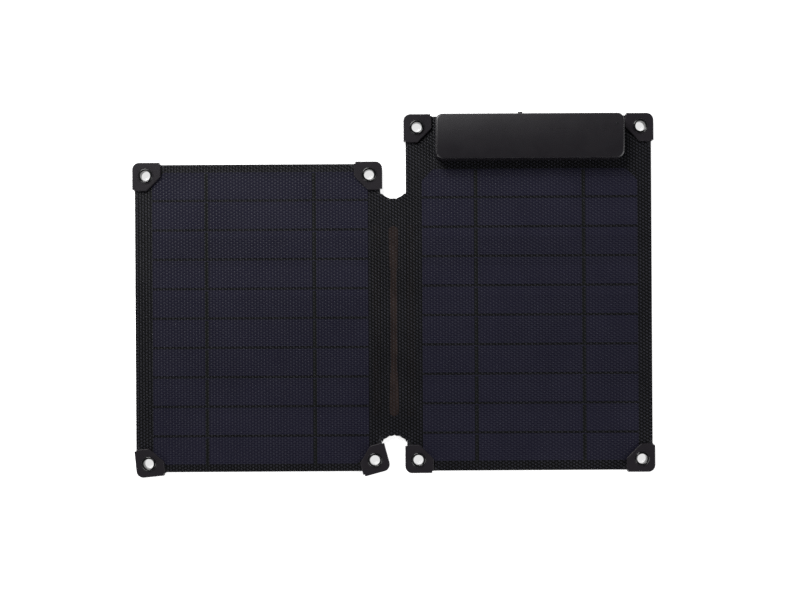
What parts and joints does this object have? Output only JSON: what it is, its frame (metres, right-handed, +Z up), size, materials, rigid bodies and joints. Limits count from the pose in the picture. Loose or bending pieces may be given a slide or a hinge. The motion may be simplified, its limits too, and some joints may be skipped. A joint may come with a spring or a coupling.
{
  "type": "folding solar charger",
  "caption": "Two-leaf folding solar panel with dimpled clear film, cell strips, corner eyelets and a controller box with a covered port side.",
  "frame": {"origin": "bottom centre of the bounding box of the charger lying open, face up; z = 0 is the surface it lies on", "axes": "+Z up, out of the cells' face; +Y towards the edge with the controller box; +X towards the main panel"},
  "size_m": [0.3786, 0.2628, 0.0174],
  "materials": {
    "embossed_film": "clear, dimpled, semi-gloss",
    "clear_encapsulant": "clear, cast",
    "black_encapsulant": "black, satin",
    "fibre_board": "glass-fibre board",
    "woven_cover": "coated woven polyester",
    "silicon": "dark blue silicon with fine print",
    "tinned_ribbon": "darkened ribbon",
    "copper_foil": "copper",
    "guard_plastic": "moulded, fine grain",
    "eyelet_metal": "black nickel",
    "soft_touch": "soft-touch",
    "rubber": "matte",
    "steel": "zinc plated",
    "circuit_board": "solder mask",
    "socket_metal": "nickel plated",
    "socket_plastic": "moulded",
    "light_pipe": "clear acrylic",
    "ferrite": "sintered",
    "can_metal": "drawn can",
    "chip_plastic": "moulded",
    "led_plastic": "diffusing resin"
  },
  "bodies": {
    "main_panel": {"back_cover_main": "woven_cover", "stiffener_board_main": "fibre_board", "black_encapsulant_main": "black_encapsulant", "clear_encapsulant_main": "clear_encapsulant", "front_film_main": "embossed_film", "cell_strips_main": "silicon", "cell_ribbons_main": "tinned_ribbon", "bus_ribbons_main": "tinned_ribbon", "flat_circuit_tail_main": "copper_foil", "box_leads": "tinned_ribbon", "corner_guard_main_bottom_left": "guard_plastic", "eyelet_main_bottom_left": "eyelet_metal", "corner_guard_main_bottom_right": "guard_plastic", "eyelet_main_bottom_right": "eyelet_metal", "corner_guard_main_top_right": "guard_plastic", "eyelet_main_top_right": "eyelet_metal", "corner_guard_main_top_left": "guard_plastic", "eyelet_main_top_left": "eyelet_metal", "controller_shell": "soft_touch", "controller_gasket": "rubber", "controller_back_plate": "soft_touch", "case_screws": "steel", "circuit_board": "circuit_board", "board_screws": "steel", "usb_a_socket_shell": "socket_metal", "usb_a_socket_insert": "socket_plastic", "usb_c_socket_shell": "socket_metal", "usb_c_socket_insert": "socket_plastic", "light_pipe": "light_pipe", "storage_coil": "ferrite", "capacitors": "can_metal", "converter_chips": "chip_plastic", "blocking_diodes": "chip_plastic", "status_led": "led_plastic", "web_fabric_main": "woven_cover", "web_core_main": "black_encapsulant", "web_film_main": "embossed_film", "flat_circuit_web_main": "copper_foil"},
    "leaf_panel": {"back_cover_leaf": "woven_cover", "stiffener_board_leaf": "fibre_board", "black_encapsulant_leaf": "black_encapsulant", "clear_encapsulant_leaf": "clear_encapsulant", "front_film_leaf": "embossed_film", "cell_strips_leaf": "silicon", "cell_ribbons_leaf": "tinned_ribbon", "bus_ribbons_leaf": "tinned_ribbon", "flat_circuit_tail_leaf": "copper_foil", "corner_guard_leaf_bottom_left": "guard_plastic", "eyelet_leaf_bottom_left": "eyelet_metal", "corner_guard_leaf_bottom_right": "guard_plastic", "eyelet_leaf_bottom_right": "eyelet_metal", "corner_guard_leaf_top_right": "guard_plastic", "eyelet_leaf_top_right": "eyelet_metal", "corner_guard_leaf_top_left": "guard_plastic", "eyelet_leaf_top_left": "eyelet_metal", "web_fabric_leaf": "woven_cover", "web_core_leaf": "black_encapsulant", "web_film_leaf": "embossed_film", "flat_circuit_web_leaf": "copper_foil"},
    "port_cover": {"port_cover": "rubber"}
  },
  "joints": [
    {"name": "fold_hinge", "type": "hinge", "parent": "main_panel", "child": "leaf_panel", "pos_m": [0, -0.01598, 0.007], "axis": [0, 1, 0], "range_deg": [0, 180]},
    {"name": "port_cover_hinge", "type": "hinge", "parent": "main_panel", "child": "port_cover", "pos_m": [0.0917, 0.12917, 0.00705], "axis": [-1, 0, 0], "range_deg": [0, 90]}
  ]
}
